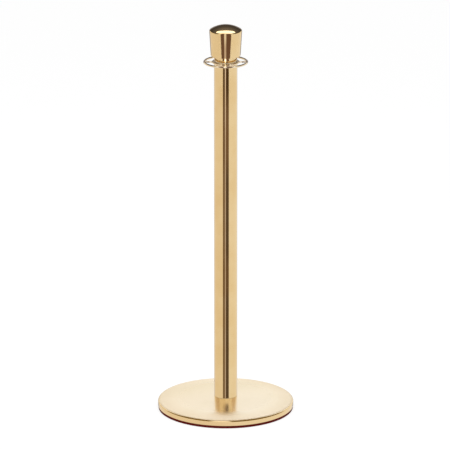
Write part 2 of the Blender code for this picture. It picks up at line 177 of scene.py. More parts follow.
# Fasteners
BOLT_RADIUS = 7.9 * MM
BOLT_HEAD_HEIGHT = 10 * MM
BOLT_PITCH = 2 * MM
BOLT_PLAIN_LENGTH = 12 * MM
STUD_PITCH = 1.75 * MM
THREAD_SHAPE = 0.61
THREAD_CREST = 0.125
THREAD_FLANK = 0.625
THREAD_ROWS = 12
SPLIT_WIDTH = 2.5 * MM
SPLIT_SLANT = 25
HEXAGON_FACE = 0.475

# Post
POST_WALL = 1.5 * MM
FOOT_SPIGOT_RADIUS = 17 * MM
FOOT_HOLE_TO_TOP = 5 * MM
TOP_FLANGE_HEIGHT = 3 * MM
SPIGOT_RADIUS = 13 * MM
STUD_HOLE_DEPTH = 24 * MM
STUD_HOLE_RADIUS = 6.2 * MM
PLUG_CHAMFER = 1 * MM

# Rope ring
WIRE_RADIUS = 2.75 * MM
HUB_RADIUS = 35.5 * MM
HUB_THICKNESS = 5 * MM
HUB_ROUNDING = 2 * MM
HUB_BORE_RADIUS = 15.2 * MM
SPOKE_RADIUS = 2.3 * MM
SPOKE_FLARE = 3 * MM
SPOKE_FLARE_LENGTH = 8 * MM
SPOKE_COUNT = 4
BUSH_BORE_RADIUS = 13.3 * MM
BUSH_WALL = 1.6 * MM
BUSH_THICKNESS = 1.2 * MM
WASHER_SQUASH = 0.2 * MM
WASHER_SPREAD = 1.8 * MM

# Finial
FINIAL_WALL = 1.2 * MM
FINIAL_SHOULDER = 4.5 * MM
FINIAL_WIDEST = 1024.3 * MM
FINIAL_TAPER = 3.4
NECK_RADIUS = 29.5 * MM
NECK_ROUNDING = 0.8 * MM
NECK_SOCKET_RADIUS = 14 * MM
NECK_SOCKET_DEPTH = 0.8 * MM
FLANGE_RECESS = 0.5 * MM
FLANGE_HEIGHT = 6 * MM
STUD_BOSS_RADIUS = 14 * MM
NUT_THREAD_RADIUS = 6.2 * MM


# ---- Shapes ----


def measure(node):
    """A round CAD node's outer radius, lowest height and highest height."""
    low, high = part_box(node)
    return high.x, low.z, high.z


def arc(centre, radius, start, end, steps):
    """Points (radius, height) on a circle, from the start angle to the end angle in degrees.
    They crowd towards both ends, where the next stretch begins."""
    points = []
    for i in range(steps + 1):
        share = (1 - math.cos(math.pi * i / steps)) / 2
        angle = math.radians(start + (end - start) * share)
        points.append((centre[0] + radius * math.cos(angle), centre[1] + radius * math.sin(angle)))
    return points


def rounded(corners):
    """An outline of (radius, height) points. A corner with a third value is rounded by it."""
    outline = []
    for i, corner in enumerate(corners):
        here = Vector(corner[:2])
        if len(corner) == 2:
            outline.append(tuple(here))
            continue
        sides = [Vector(corners[i - 1][:2]) - here, Vector(corners[(i + 1) % len(corners)][:2]) - here]
        unit = [side.normalized() for side in sides]
        half = unit[0].angle(unit[1]) / 2
        reach = corner[2] / math.tan(half)
        centre = here + (unit[0] + unit[1]).normalized() * (corner[2] / math.sin(half))
        first = here + unit[0] * reach - centre
        last = here + unit[1] * reach - centre
        start = math.atan2(first.y, first.x)
        turn = (math.atan2(last.y, last.x) - start + math.pi) % math.tau - math.pi
        if sides[0].length > 2 * (reach + SUPPORT):
            outline.append(tuple(here + unit[0] * (reach + SUPPORT)))
        for step in range(ROUND_STEPS + 1):
            angle = start + turn * step / ROUND_STEPS
            spoke = Vector((math.cos(angle), math.sin(angle))) * corner[2]
            outline.append(tuple(centre + spoke))
        if sides[1].length > 2 * (reach + SUPPORT):
            outline.append(tuple(here + unit[1] * (reach + SUPPORT)))
    return outline


def new_piece(name, verts, faces, material):
    """A closed, smooth-shaded mesh object with sharp edges kept sharp."""
    data = bpy.data.meshes.new(name)
    data.from_pydata(verts, [], faces)
    mesh = bmesh.new()
    mesh.from_mesh(data)
    bmesh.ops.recalc_face_normals(mesh, faces=mesh.faces)
    mesh.to_mesh(data)
    mesh.free()
    data.shade_smooth()
    data.set_sharp_from_angle(angle=math.radians(SHARP_ANGLE))
    if material:
        data.materials.append(material)
    piece = bpy.data.objects.new(name, data)
    bpy.context.scene.collection.objects.link(piece)
    return piece


def lathe(name, outline, facets, material, limit=None):
    """Turns an outline of (radius, height) points about the post's axis. An outline that starts
    off the axis is closed into a ring. limit(angle, height) is the largest radius there."""
    verts = []
    rings = []
    for radius, height in outline:
        if radius == 0:
            rings.append([len(verts)] * facets)
            verts.append((0, 0, height))
            continue
        rings.append([len(verts) + i for i in range(facets)])
        for i in range(facets):
            angle = math.tau * i / facets
            reach = min(radius, limit(angle, height)) if limit else radius
            verts.append((reach * math.cos(angle), reach * math.sin(angle), height))
    pairs = list(zip(rings, rings[1:]))
    if outline[0][0] > 0:
        pairs.append((rings[-1], rings[0]))
    faces = []
    for near, far in pairs:
        for i in range(facets):
            following = (i + 1) % facets
            loop = (near[i], near[following], far[following], far[i])
            faces.append(tuple(dict.fromkeys(loop)))
    return new_piece(name, verts, faces, material)


def ring_section(inner, outer, bottom, top, rounding):
    corners = [(inner, bottom), (outer, bottom), (outer, top), (inner, top)]
    return rounded([(radius, height, rounding) for radius, height in corners])


def washer(name, node, inner, rounding, material):
    section = ring_section(inner, *measure(node), rounding)
    return lathe(name, section, SMALL_FACETS, material)


def split_washer(name, node, inner, material):
    """A square-section ring whose two ends part along a slanted cut."""
    outer, bottom, top = measure(node)
    middle = (bottom + top) / 2
    section = ring_section(inner, outer, bottom, top, EDGE_ROUNDING)
    verts = []
    for i in range(SMALL_FACETS + 1):
        share = i / SMALL_FACETS
        for radius, height in section:
            slant = (height - middle) * math.tan(math.radians(SPLIT_SLANT)) / outer
            gap = SPLIT_WIDTH / 2 / outer
            angle = gap + slant + (math.tau - 2 * gap) * share
            verts.append((radius * math.cos(angle), radius * math.sin(angle), height))
    count = len(section)
    faces = [tuple(range(count)), tuple(range(len(verts) - count, len(verts)))]
    for start in range(0, len(verts) - count, count):
        for j in range(count):
            following = (j + 1) % count
            faces.append((start + j, start + following, start + count + following, start + count + j))
    return new_piece(name, verts, faces, material)


def hexagon_limit(across_flats):
    """The largest radius of a hexagon whose flats face along X."""

    def limit(angle, height):
        turned = (angle + math.pi / 6) % (math.pi / 3) - math.pi / 6
        return across_flats / 2 / math.cos(turned)

    return limit


def thread_limit(radius, pitch):
    """The largest radius of a right-hand thread, with flats at its crest and its root."""
    depth = THREAD_SHAPE * pitch

    def limit(angle, height):
        phase = abs(2 * ((height / pitch - angle / math.tau) % 1) - 1)
        return radius - depth * min(max((phase - THREAD_CREST) / THREAD_FLANK, 0), 1)

    return limit


def chamfered_end(face_radius, corner_radius, height, slope_side):
    """The 30 degree chamfer of a hexagon's end, from its face outwards. slope_side is 1 where
    the hexagon is above the face, and -1 where it is below."""
    points = []
    for i in range(CHAMFER_STEPS + 1):
        radius = face_radius + (corner_radius - face_radius) * i / CHAMFER_STEPS
        rise = (radius - face_radius) * math.tan(math.radians(30))
        points.append((radius, height + slope_side * rise))
    return points


def base_outline(inset):
    """The base's dome and shoulder, this far inside the cover's outer face, from the seat out."""
    rim_radius, _, seat = measure("base_cover")
    shoulder_radius = rim_radius - COVER_SHOULDER
    dome_radius = (shoulder_radius**2 - SEAT_RADIUS**2) / (2 * (seat - COVER_RIM_TOP))
    dome_centre = seat - math.sqrt(dome_radius**2 - SEAT_RADIUS**2)
    rise = math.sqrt((dome_radius - COVER_SHOULDER) ** 2 - shoulder_radius**2)
    start = math.degrees(math.acos(SEAT_RADIUS / (dome_radius - inset)))
    meet = math.degrees(math.atan2(rise, shoulder_radius))
    dome = arc((0, dome_centre), dome_radius - inset, start, meet, DOME_STEPS)
    shoulder_centre = (shoulder_radius, dome_centre + rise)
    shoulder = arc(shoulder_centre, COVER_SHOULDER - inset, meet, 0, COVER_SHOULDER_STEPS)
    return dome + shoulder[1:]


def finial_outline(inset):
    """The finial's side and crown, this far inside its outer face, from the bottom edge up."""
    widest, bottom, top = measure("finial_shell")
    edge = widest - FINIAL_SHOULDER
    crown_height = top - FINIAL_WIDEST
    crown_radius = (edge**2 + crown_height**2 - FINIAL_SHOULDER**2) / (
        2 * (crown_height - FINIAL_SHOULDER)
    )
    crown_centre = top - crown_radius
    meet = math.degrees(math.atan2(FINIAL_WIDEST - crown_centre, edge))
    shoulder_centre = (edge, FINIAL_WIDEST)
    shoulder_radius = FINIAL_SHOULDER - inset
    shoulder = arc(shoulder_centre, shoulder_radius, -FINIAL_TAPER, meet, FINIAL_SHOULDER_STEPS)
    slope = math.tan(math.radians(FINIAL_TAPER))
    bottom_radius = shoulder[0][0] - (shoulder[0][1] - bottom) * slope
    below_shoulder = (shoulder[0][0] - SUPPORT * slope, shoulder[0][1] - SUPPORT)
    above_bottom = (bottom_radius + 2 * SUPPORT * slope, bottom + 2 * SUPPORT)
    crown = arc((0, crown_centre), crown_radius - inset, meet, 90, DOME_STEPS)[1:-1]
    return [
        (bottom_radius, bottom),
        above_bottom,
        below_shoulder,
        *shoulder,
        *crown,
        (0, top - inset),
    ]


# ---- Materials ----


def add(tree, kind, inputs=None, **settings):
    """Adds a node. An input given as a socket is linked, and any other value is set."""
    item = tree.nodes.new("ShaderNode" + kind)
    for key, value in settings.items():
        setattr(item, key, value)
    for key, value in (inputs or {}).items():
        if isinstance(value, bpy.types.NodeSocket):
            tree.links.new(value, item.inputs[key])
        else:
            item.inputs[key].default_value = value
    return item


def new_material(name):
    material = bpy.data.materials.new(name)
    material.use_nodes = True
    return material, material.node_tree, material.node_tree.nodes["Principled BSDF"]


def calculate(tree, operation, first, second=0.0):
    return add(tree, "Math", {0: first, 1: second}, operation=operation).outputs[0]


def product(tree, first, *others):
    for other in others:
        first = calculate(tree, "MULTIPLY", first, other)
    return first


def ramp(tree, value, start, end, low=0.0, high=1.0):
    """low up to start, high from end, and a smooth change between."""
    inputs = {"Value": value, "From Min": start, "From Max": end, "To Min": low, "To Max": high}
    return add(tree, "MapRange", inputs, interpolation_type="SMOOTHSTEP").outputs[0]


def mix(tree, share, first, second, blend="MIX"):
    """A colour between two colours."""
    item = add(tree, "Mix", data_type="RGBA", blend_type=blend)
    for index, value in ((0, share), (6, first), (7, second)):
        if isinstance(value, bpy.types.NodeSocket):
            tree.links.new(value, item.inputs[index])
        elif index:
            item.inputs[index].default_value = (*value, 1)
        else:
            item.inputs[index].default_value = value
    return item.outputs[2]


def tint(tree, first, second):
    """One colour multiplied by another."""
    return mix(tree, 1.0, first, second, "MULTIPLY")


def noise(tree, place, scale, detail=3.0, roughness=0.5):
    inputs = {"Vector": place, "Scale": scale, "Detail": detail, "Roughness": roughness}
    return add(tree, "TexNoise", inputs).outputs[0]


def own_place(tree):
    """The piece's own coordinates, in metres, which move with it."""
    return add(tree, "TexCoord").outputs["Object"]


def axis_distance(tree, place):
    """How far a place is from the post's axis."""
    flat = add(tree, "VectorMath", {0: place, 1: (1, 1, 0)}, operation="MULTIPLY").outputs[0]
    return add(tree, "VectorMath", {0: flat}, operation="LENGTH").outputs["Value"]


def z_part(tree, vector):
    """The height of a place, or how far a direction points up."""
    return add(tree, "SeparateXYZ", {0: vector}).outputs["Z"]


def round_place(tree, place):
    """Coordinates in which noise runs as rings round the post's axis: the distance from the
    axis, and the height."""
    inputs = {"X": axis_distance(tree, place), "Y": 0.0, "Z": z_part(tree, place)}
    return add(tree, "CombineXYZ", inputs).outputs[0]


def along_place(tree, place):
    """Coordinates in which noise runs as lines along the post."""
    return add(tree, "VectorMath", {0: place, 1: (1, 1, 0.01)}, operation="MULTIPLY").outputs[0]


def bump(tree, height, distance, strength):
    inputs = {"Height": height, "Distance": distance, "Strength": strength}
    return add(tree, "Bump", inputs).outputs[0]


def polished_brass(name, lines, light=(0.80, 0.605, 0.325), deep=(0.765, 0.555, 0.275)):
    """Mirror-polished, lacquered brass. lines is the polishing direction: along or round."""
    material, tree, shader = new_material(name)
    place = own_place(tree)
    direction = along_place(tree, place) if lines == "along" else round_place(tree, place)
    hairlines = noise(tree, direction, 2600, 2)
    clouds = noise(tree, place, 14)
    smears = noise(tree, place, 45, 4, 0.6)
    tone = mix(tree, ramp(tree, clouds, 0.35, 0.65), light, deep)
    tone = mix(tree, ramp(tree, hairlines, 0.3, 0.7, 0, 0.12), tone, (0.62, 0.43, 0.19))
    tree.links.new(tone, shader.inputs["Base Color"])
    rough = ramp(tree, smears, 0.45, 0.75, 0.05, 0.11)
    rough = product(tree, rough, ramp(tree, hairlines, 0.2, 0.8, 0.85, 1.25))
    tree.links.new(rough, shader.inputs["Roughness"])
    tree.links.new(bump(tree, hairlines, 0.01 * MM, 0.03), shader.inputs["Normal"])
    shader.inputs["Metallic"].default_value = 1
    shader.inputs["Coat Weight"].default_value = 0.15
    shader.inputs["Coat Roughness"].default_value = 0.03
    return material


def satin_brass(name):
    """Brass brushed in circles on top, more coarsely towards the edge, with a smoother rim. Faces that
    look up get a paler colour than the rim, which is painted sheen from the light overhead.
    """
    material, tree, shader = new_material(name)
    place = own_place(tree)
    rings = noise(tree, round_place(tree, place), 1500, 3)
    broken = noise(tree, place, 60, 3)
    clouds = noise(tree, place, 7)
    up = z_part(tree, add(tree, "TexCoord").outputs["Normal"])
    # Faces that look up get the paler colour below, a painted sheen of the overhead light; the rim
    # keeps the post's gold
    top = ramp(tree, up, 0.75, 0.97)
    top_tone_with_painted_sheen = mix(tree, ramp(tree, clouds, 0.35, 0.65), (0.915, 0.80, 0.625), (0.88, 0.765, 0.575))
    top_tone_with_painted_sheen = mix(tree, ramp(tree, rings, 0.35, 0.7, 0, 0.22), top_tone_with_painted_sheen, (0.80, 0.67, 0.46))
    edge = mix(tree, ramp(tree, rings, 0.3, 0.7), (0.82, 0.625, 0.35), (0.79, 0.585, 0.31))
    tree.links.new(mix(tree, top, edge, top_tone_with_painted_sheen), shader.inputs["Base Color"])
    brushed = ramp(tree, axis_distance(tree, place), 108 * MM, 165 * MM, 0.2, 0.6)
    brushed = calculate(tree, "ADD", brushed, ramp(tree, broken, 0.4, 0.7, -0.01, 0.02))
    brushed = product(tree, brushed, ramp(tree, rings, 0.2, 0.8, 0.9, 1.15))
    rough = add(tree, "Mix", {0: top, 2: 0.16, 3: brushed}).outputs[0]
    tree.links.new(rough, shader.inputs["Roughness"])
    tree.links.new(bump(tree, rings, 0.02 * MM, 0.12), shader.inputs["Normal"])
    shader.inputs["Metallic"].default_value = 1
    tangent = add(tree, "Tangent", direction_type="RADIAL", axis="Z").outputs[0]
    tree.links.new(tangent, shader.inputs["Tangent"])
    shader.inputs["Anisotropic"].default_value = 0.3
    shader.inputs["Anisotropic Rotation"].default_value = 0.25
    return material


def maroon_rubber(name):
    """Moulded rubber with a fine grain and a little floor dust."""
    material, tree, shader = new_material(name)
    place = own_place(tree)
    grain = noise(tree, place, 900, 4)
    dust = noise(tree, place, 35, 5, 0.65)
    tone = mix(tree, ramp(tree, grain, 0.3, 0.7), (0.08, 0.002, 0.0005), (0.105, 0.004, 0.001))
    tone = mix(tree, ramp(tree, dust, 0.55, 0.8, 0, 0.1), tone, (0.16, 0.05, 0.035))
    tree.links.new(tone, shader.inputs["Base Color"])
    tree.links.new(ramp(tree, dust, 0.3, 0.7, 0.5, 0.72), shader.inputs["Roughness"])
    tree.links.new(bump(tree, grain, 0.1 * MM, 0.3), shader.inputs["Normal"])
    shader.inputs["Specular IOR Level"].default_value = 0.05
    return material


def cast_iron(name):
    """Black-painted sand casting, with rust where the paint is thin."""
    material, tree, shader = new_material(name)
    place = own_place(tree)
    sand = noise(tree, place, 420, 6, 0.6)
    patches = noise(tree, place, 24, 5, 0.6)
    tone = mix(tree, ramp(tree, sand, 0.3, 0.7), (0.022, 0.022, 0.023), (0.05, 0.048, 0.046))
    tone = mix(tree, ramp(tree, patches, 0.6, 0.72, 0, 0.7), tone, (0.16, 0.06, 0.025))
    tree.links.new(tone, shader.inputs["Base Color"])
    tree.links.new(ramp(tree, patches, 0.4, 0.7, 0.45, 0.85), shader.inputs["Roughness"])
    tree.links.new(bump(tree, sand, 0.6 * MM, 0.6), shader.inputs["Normal"])
    shader.inputs["Metallic"].default_value = 0.1
    return material


def bare_steel(name, light, dark, roughness, lines):
    """Steel with fine marks round the axis, or with a cloudy plating."""
    material, tree, shader = new_material(name)
    place = own_place(tree)
    if lines:
        marks = noise(tree, round_place(tree, place), 1800, 3)
    else:
        marks = noise(tree, place, 160, 4, 0.6)
    tree.links.new(mix(tree, ramp(tree, marks, 0.3, 0.7), dark, light), shader.inputs["Base Color"])
    low, high = 0.8 * roughness, 1.3 * roughness
    tree.links.new(ramp(tree, marks, 0.3, 0.7, low, high), shader.inputs["Roughness"])
    tree.links.new(bump(tree, marks, 0.03 * MM, 0.2), shader.inputs["Normal"])
    shader.inputs["Metallic"].default_value = 1
    return material


def nylon(name):
    """Slightly translucent moulded nylon."""
    material, tree, shader = new_material(name)
    place = own_place(tree)
    flow = noise(tree, place, 120, 4)
    tone = mix(tree, ramp(tree, flow, 0.3, 0.7), (0.80, 0.66, 0.45), (0.86, 0.74, 0.54))
    tree.links.new(tone, shader.inputs["Base Color"])
    tree.links.new(ramp(tree, flow, 0.3, 0.7, 0.35, 0.5), shader.inputs["Roughness"])
    tree.links.new(bump(tree, flow, 0.05 * MM, 0.15), shader.inputs["Normal"])
    shader.inputs["Subsurface Weight"].default_value = 0.1
    shader.inputs["Subsurface Scale"].default_value = 1 * MM
    return material


# ---- The base ----


def make_floor_ring(material):
    """The rubber ring under the rim, with grip grooves in its sole."""
    outer, bottom, tongue_top = measure("floor_ring")
    _, cover_bottom, _ = measure("base_cover")
    top = cover_bottom - CLOSE_GAP
    inner = FLOOR_RING_INNER_RADIUS
    corners = [(inner, bottom, CAST_ROUNDING)]
    pitch = (outer - inner) / (GRIP_GROOVES + 1)
    half = GRIP_GROOVE_WIDTH / 2
    for i in range(1, GRIP_GROOVES + 1):
        middle = inner + pitch * i
        corners.append((middle - half, bottom, 0.15 * MM))
        corners.append((middle - half / 2, bottom + GRIP_GROOVE_DEPTH, 0.15 * MM))
        corners.append((middle + half / 2, bottom + GRIP_GROOVE_DEPTH, 0.15 * MM))
        corners.append((middle + half, bottom, 0.15 * MM))
    corners += [
        (outer, bottom, CAST_ROUNDING),
        (outer, top, EDGE_ROUNDING),
        (TONGUE_RADIUS + TONGUE_WIDTH / 2, top),
        (TONGUE_RADIUS + TONGUE_WIDTH / 2, tongue_top, 0.8 * MM),
        (TONGUE_RADIUS - TONGUE_WIDTH / 2, tongue_top, 0.8 * MM),
        (TONGUE_RADIUS - TONGUE_WIDTH / 2, top),
        (inner, top, EDGE_ROUNDING),
    ]
    return lathe("moulded_floor_ring", rounded(corners), BASE_FACETS, material)


def make_base_weight(material):
    """The iron casting, with a drafted recess under it and a machined counterbore."""
    _, bottom, _ = measure("base_weight")
    top = base_outline(COVER_WALL + COVER_FIT)
    gap = 0.3 * MM
    groove = [TONGUE_RADIUS - TONGUE_WIDTH / 2 - gap, TONGUE_RADIUS + TONGUE_WIDTH / 2 + gap]
    groove_ceiling = bottom + TONGUE_HEIGHT
    ceiling = bottom + RECESS_DEPTH
    corners = [
        (BOLT_HOLE_RADIUS, top[0][1], CAST_ROUNDING),
        *top,
        (top[-1][0], bottom, 1 * MM),
        (groove[1], bottom, CAST_ROUNDING),
        (groove[1], groove_ceiling, CAST_ROUNDING),
        (groove[0], groove_ceiling, CAST_ROUNDING),
        (groove[0], bottom, CAST_ROUNDING),
        (RECESS_OUTER_RADIUS, bottom, 1.5 * MM),
        (RECESS_OUTER_RADIUS - RECESS_DRAFT, ceiling, 3 * MM),
        (RECESS_INNER_RADIUS + RECESS_DRAFT, ceiling, 3 * MM),
        (RECESS_INNER_RADIUS, bottom, 1.5 * MM),
        (COUNTERBORE_RADIUS, bottom, CAST_ROUNDING),
        (COUNTERBORE_RADIUS, COUNTERBORE_CEILING, CAST_ROUNDING),
        (BOLT_HOLE_RADIUS, COUNTERBORE_CEILING, CAST_ROUNDING),
    ]
    return lathe("cast_base_weight", rounded(corners), BASE_FACETS, material)


def make_base_cover(material):
    """The spun cover: seat, dome, shoulder and rim, with its edges eased."""
    rim, bottom, seat = measure("base_cover")
    inside = base_outline(COVER_WALL)
    corners = [
        (COVER_HOLE_RADIUS, seat, EDGE_ROUNDING),
        *base_outline(0),
        (rim, bottom, 0.55 * MM),
        (rim - COVER_WALL, bottom, 0.55 * MM),
        *reversed(inside),
        (COVER_HOLE_RADIUS, inside[0][1], EDGE_ROUNDING),
    ]
    return lathe("satin_base_cover", rounded(corners), BASE_FACETS, material)


def make_base_bolt(material):
    """The M16 bolt, head down."""
    low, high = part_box("base_bolt")
    across_flats = high.x - low.x
    corner = across_flats / 2 / math.cos(math.radians(30))
    head_top = low.z + BOLT_HEAD_HEIGHT
    thread_bottom = head_top + BOLT_PLAIN_LENGTH
    hexagon = hexagon_limit(across_flats)
    thread = thread_limit(BOLT_RADIUS, BOLT_PITCH)

    def limit(angle, height):
        if height <= head_top:
            return hexagon(angle, height)
        return thread(angle, height) if height > thread_bottom else BOLT_RADIUS

    chamfer = 1.2 * MM
    outline = [(0, low.z), *chamfered_end(HEXAGON_FACE * across_flats, corner, low.z, 1)]
    outline += [(corner, head_top), (BOLT_RADIUS, head_top), (BOLT_RADIUS, head_top + SUPPORT)]
    rows = round((high.z - chamfer - thread_bottom) / BOLT_PITCH * THREAD_ROWS)
    for row in range(rows + 1):
        height = thread_bottom + (high.z - chamfer - thread_bottom) * row / rows
        outline.append((BOLT_RADIUS, height))
    outline += [(BOLT_RADIUS - chamfer, high.z), (0, high.z)]
    return lathe("m16_base_bolt", outline, SMALL_FACETS, material, limit)


# ---- The post ----


def make_foot_plug(material):
    """The threaded plug in the post's foot."""
    outer, bottom, top = measure("foot_plug")
    _, shoulder, _ = measure("post_tube")
    hole = BOLT_RADIUS + 0.3 * MM
    ceiling = top - FOOT_HOLE_TO_TOP
    corners = [
        (0, ceiling),
        (hole, ceiling),
        (hole, bottom, 0.6 * MM),
        (FOOT_SPIGOT_RADIUS, bottom, 0.4 * MM),
        (FOOT_SPIGOT_RADIUS, shoulder),
        (outer, shoulder, EDGE_ROUNDING),
        (outer, top - PLUG_CHAMFER, EDGE_ROUNDING),
        (outer - PLUG_CHAMFER, top, EDGE_ROUNDING),
        (0, top),
    ]
    return lathe("threaded_foot_plug", rounded(corners), POST_FACETS, material)


def make_post_tube(material):
    radius, bottom, top = measure("post_tube")
    section = ring_section(radius - POST_WALL, radius, bottom, top, 0.35 * MM)
    return lathe("polished_post_tube", section, POST_FACETS, material)


def make_top_plug(material):
    """The plug in the post's top: flange, spigot and the finial's threaded hole."""
    radius, bottom, top = measure("top_plug")
    _, _, tube_top = measure("post_tube")
    flange_bottom = tube_top + 0.3 * MM
    flange_top = flange_bottom + TOP_FLANGE_HEIGHT
    body = radius - POST_WALL - 0.3 * MM
    floor = top - STUD_HOLE_DEPTH
    corners = [
        (0, floor),
        (STUD_HOLE_RADIUS, floor),
        (STUD_HOLE_RADIUS, top, 0.6 * MM),
        (SPIGOT_RADIUS, top, CAST_ROUNDING),
        (SPIGOT_RADIUS, flange_top),
        (radius, flange_top, 0.6 * MM),
        (radius, flange_bottom, EDGE_ROUNDING),
        (body, flange_bottom),
        (body, bottom + PLUG_CHAMFER, EDGE_ROUNDING),
        (body - PLUG_CHAMFER, bottom, EDGE_ROUNDING),
        (0, bottom),
    ]
    return lathe("turned_top_plug", rounded(corners), POST_FACETS, material)


def make_ring_washer(material):
    """The nylon washer, with its rim filling most of the gap under the finial's neck."""
    outer, bottom, top = measure("ring_washer")
    bottom -= WASHER_SQUASH
    corners = [
        (BUSH_BORE_RADIUS, bottom, EDGE_ROUNDING),
        (outer + WASHER_SPREAD, bottom, 0.4 * MM),
        (outer + WASHER_SPREAD, top, 0.4 * MM),
        (BUSH_BORE_RADIUS, top, EDGE_ROUNDING),
    ]
    return lathe("nylon_ring_washer", rounded(corners), POST_FACETS, material)


# ---- The rope ring ----


def make_spoke(index, height, reach):
    """A spoke from inside the hub to the hoop, which widens into the hub and into the hoop."""
    root = HUB_RADIUS - HUB_ROUNDING
    flare_length = HUB_ROUNDING + SPOKE_FLARE_LENGTH
    direction = math.tau * index / SPOKE_COUNT
    verts = []
    for station in range(SPOKE_STEPS + 1):
        along = root + (reach - root) * station / SPOKE_STEPS
        hub_share = max(0, 1 - (along - root) / flare_length)
        hoop_share = max(0, 1 - (reach - along) / (2 * WIRE_RADIUS))
        half_width = SPOKE_RADIUS + SPOKE_FLARE * hub_share**2 + SPOKE_RADIUS * hoop_share**2
        for i in range(WIRE_FACETS):
            angle = math.tau * i / WIRE_FACETS
            across = half_width * math.cos(angle)
            x = along * math.cos(direction) - across * math.sin(direction)
            y = along * math.sin(direction) + across * math.cos(direction)
            verts.append((x, y, height + SPOKE_RADIUS * math.sin(angle)))
    faces = [tuple(range(WIRE_FACETS)), tuple(range(len(verts) - WIRE_FACETS, len(verts)))]
    for start in range(0, len(verts) - WIRE_FACETS, WIRE_FACETS):
        for i in range(WIRE_FACETS):
            following = (i + 1) % WIRE_FACETS
            far = start + WIRE_FACETS
            faces.append((start + i, start + following, far + following, far + i))
    return new_piece(f"spoke_{index}", verts, faces, None)


def make_rope_ring(material):
    """The hub disc, its spokes and the round wire hoop, brazed into one piece."""
    outer, bottom, top = measure("rope_ring")
    height = (bottom + top) / 2
    hoop_radius = outer - WIRE_RADIUS
    half = HUB_THICKNESS / 2
    corners = [
        (HUB_BORE_RADIUS, height - half, EDGE_ROUNDING),
        (HUB_RADIUS, height - half, HUB_ROUNDING),
        (HUB_RADIUS, height + half, HUB_ROUNDING),
        (HUB_BORE_RADIUS, height + half, EDGE_ROUNDING),
    ]
    ring = lathe("cast_rope_ring", rounded(corners), POST_FACETS, material)
    section = []
    for i in range(WIRE_FACETS):
        angle = math.tau * i / WIRE_FACETS
        reach = hoop_radius + WIRE_RADIUS * math.cos(angle)
        section.append((reach, height + WIRE_RADIUS * math.sin(angle)))
    helpers = [make_spoke(i, height, hoop_radius) for i in range(SPOKE_COUNT)]
    helpers.append(lathe("hoop", section, POST_FACETS, None))
    for helper in helpers:
        join = ring.modifiers.new(helper.name, "BOOLEAN")
        join.operation = "UNION"
        join.object = helper
    bpy.context.view_layer.update()
    graph = bpy.context.evaluated_depsgraph_get()
    joined = bpy.data.meshes.new_from_object(ring.evaluated_get(graph))
    ring.modifiers.clear()
    ring.data = joined
    joined.shade_smooth()
    joined.set_sharp_from_angle(angle=math.radians(SHARP_ANGLE))
    for helper in helpers:
        bpy.data.objects.remove(helper)
    return ring


def make_ring_bush(material):
    outer, bottom, top = measure("ring_bush")
    sleeve = BUSH_BORE_RADIUS + BUSH_WALL
    flange_top = bottom + BUSH_THICKNESS
    corners = [
        (BUSH_BORE_RADIUS, bottom, EDGE_ROUNDING),
        (outer, bottom, EDGE_ROUNDING),
        (outer, flange_top, EDGE_ROUNDING),
        (sleeve, flange_top),
        (sleeve, top, EDGE_ROUNDING),
        (BUSH_BORE_RADIUS, top, EDGE_ROUNDING),
    ]
    return lathe("nylon_ring_bush", rounded(corners), SMALL_FACETS, material)


# ---- The finial ----


def make_finial_base(material):
    """The turned neck, and the flange that closes the shell's mouth."""
    outer, bottom, top = measure("finial_base")
    _, shell_bottom, _ = measure("finial_shell")
    flange_bottom = shell_bottom + FLANGE_RECESS
    flange_top = flange_bottom + FLANGE_HEIGHT
    ceiling = bottom + NECK_SOCKET_DEPTH
    corners = [
        (STUD_HOLE_RADIUS, ceiling),
        (NECK_SOCKET_RADIUS, ceiling),
        (NECK_SOCKET_RADIUS, bottom, EDGE_ROUNDING),
        (NECK_RADIUS, bottom, NECK_ROUNDING),
        (NECK_RADIUS, flange_bottom, 0.4 * MM),
        (outer, flange_bottom, EDGE_ROUNDING),
        (outer, flange_top, EDGE_ROUNDING),
        (STUD_BOSS_RADIUS, flange_top, CAST_ROUNDING),
        (STUD_BOSS_RADIUS, top, 0.4 * MM),
        (STUD_HOLE_RADIUS, top, 0.4 * MM),
    ]
    return lathe("turned_finial_base", rounded(corners), POST_FACETS, material)


def make_finial_shell(material):
    """The hollow crown, with its bottom edge eased."""
    outside = finial_outline(0)
    inside = finial_outline(FINIAL_WALL)
    easing = 0.3 * MM
    corners = [
        *reversed(outside[1:]),
        (*outside[0], easing),
        (*inside[0], easing),
        *inside[1:],
    ]
    return lathe("spun_finial_shell", rounded(corners), POST_FACETS, material)


def make_finial_stud(material):
    """The M12 stud, threaded from end to end."""
    radius, bottom, top = measure("finial_stud")
    chamfer = 1 * MM
    rows = round((top - bottom - 2 * chamfer) / STUD_PITCH * THREAD_ROWS)
    outline = [(0, bottom), (radius - chamfer, bottom)]
    for row in range(rows + 1):
        height = bottom + chamfer + (top - bottom - 2 * chamfer) * row / rows
        outline.append((radius, height))
    outline += [(radius - chamfer, top), (0, top)]
    limit = thread_limit(radius, STUD_PITCH)
    return lathe("m12_finial_stud", outline, SMALL_FACETS, material, limit)


def make_finial_nut(material):
    """A hexagon nut with both ends chamfered and the thread's mouths countersunk."""
    low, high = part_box("finial_nut")
    across_flats = high.x - low.x
    corner = across_flats / 2 / math.cos(math.radians(30))
    face = HEXAGON_FACE * across_flats
    mouth = 0.8 * MM
    outline = [
        (NUT_THREAD_RADIUS, low.z + mouth),
        (NUT_THREAD_RADIUS + mouth, low.z),
        *chamfered_end(face, corner, low.z, 1),
        *reversed(chamfered_end(face, corner, high.z, -1)),
        (NUT_THREAD_RADIUS + mouth, high.z),
        (NUT_THREAD_RADIUS, high.z - mouth),
    ]
    return lathe("m12_finial_nut", outline, SMALL_FACETS, material, hexagon_limit(across_flats))


# ---- The studio ----


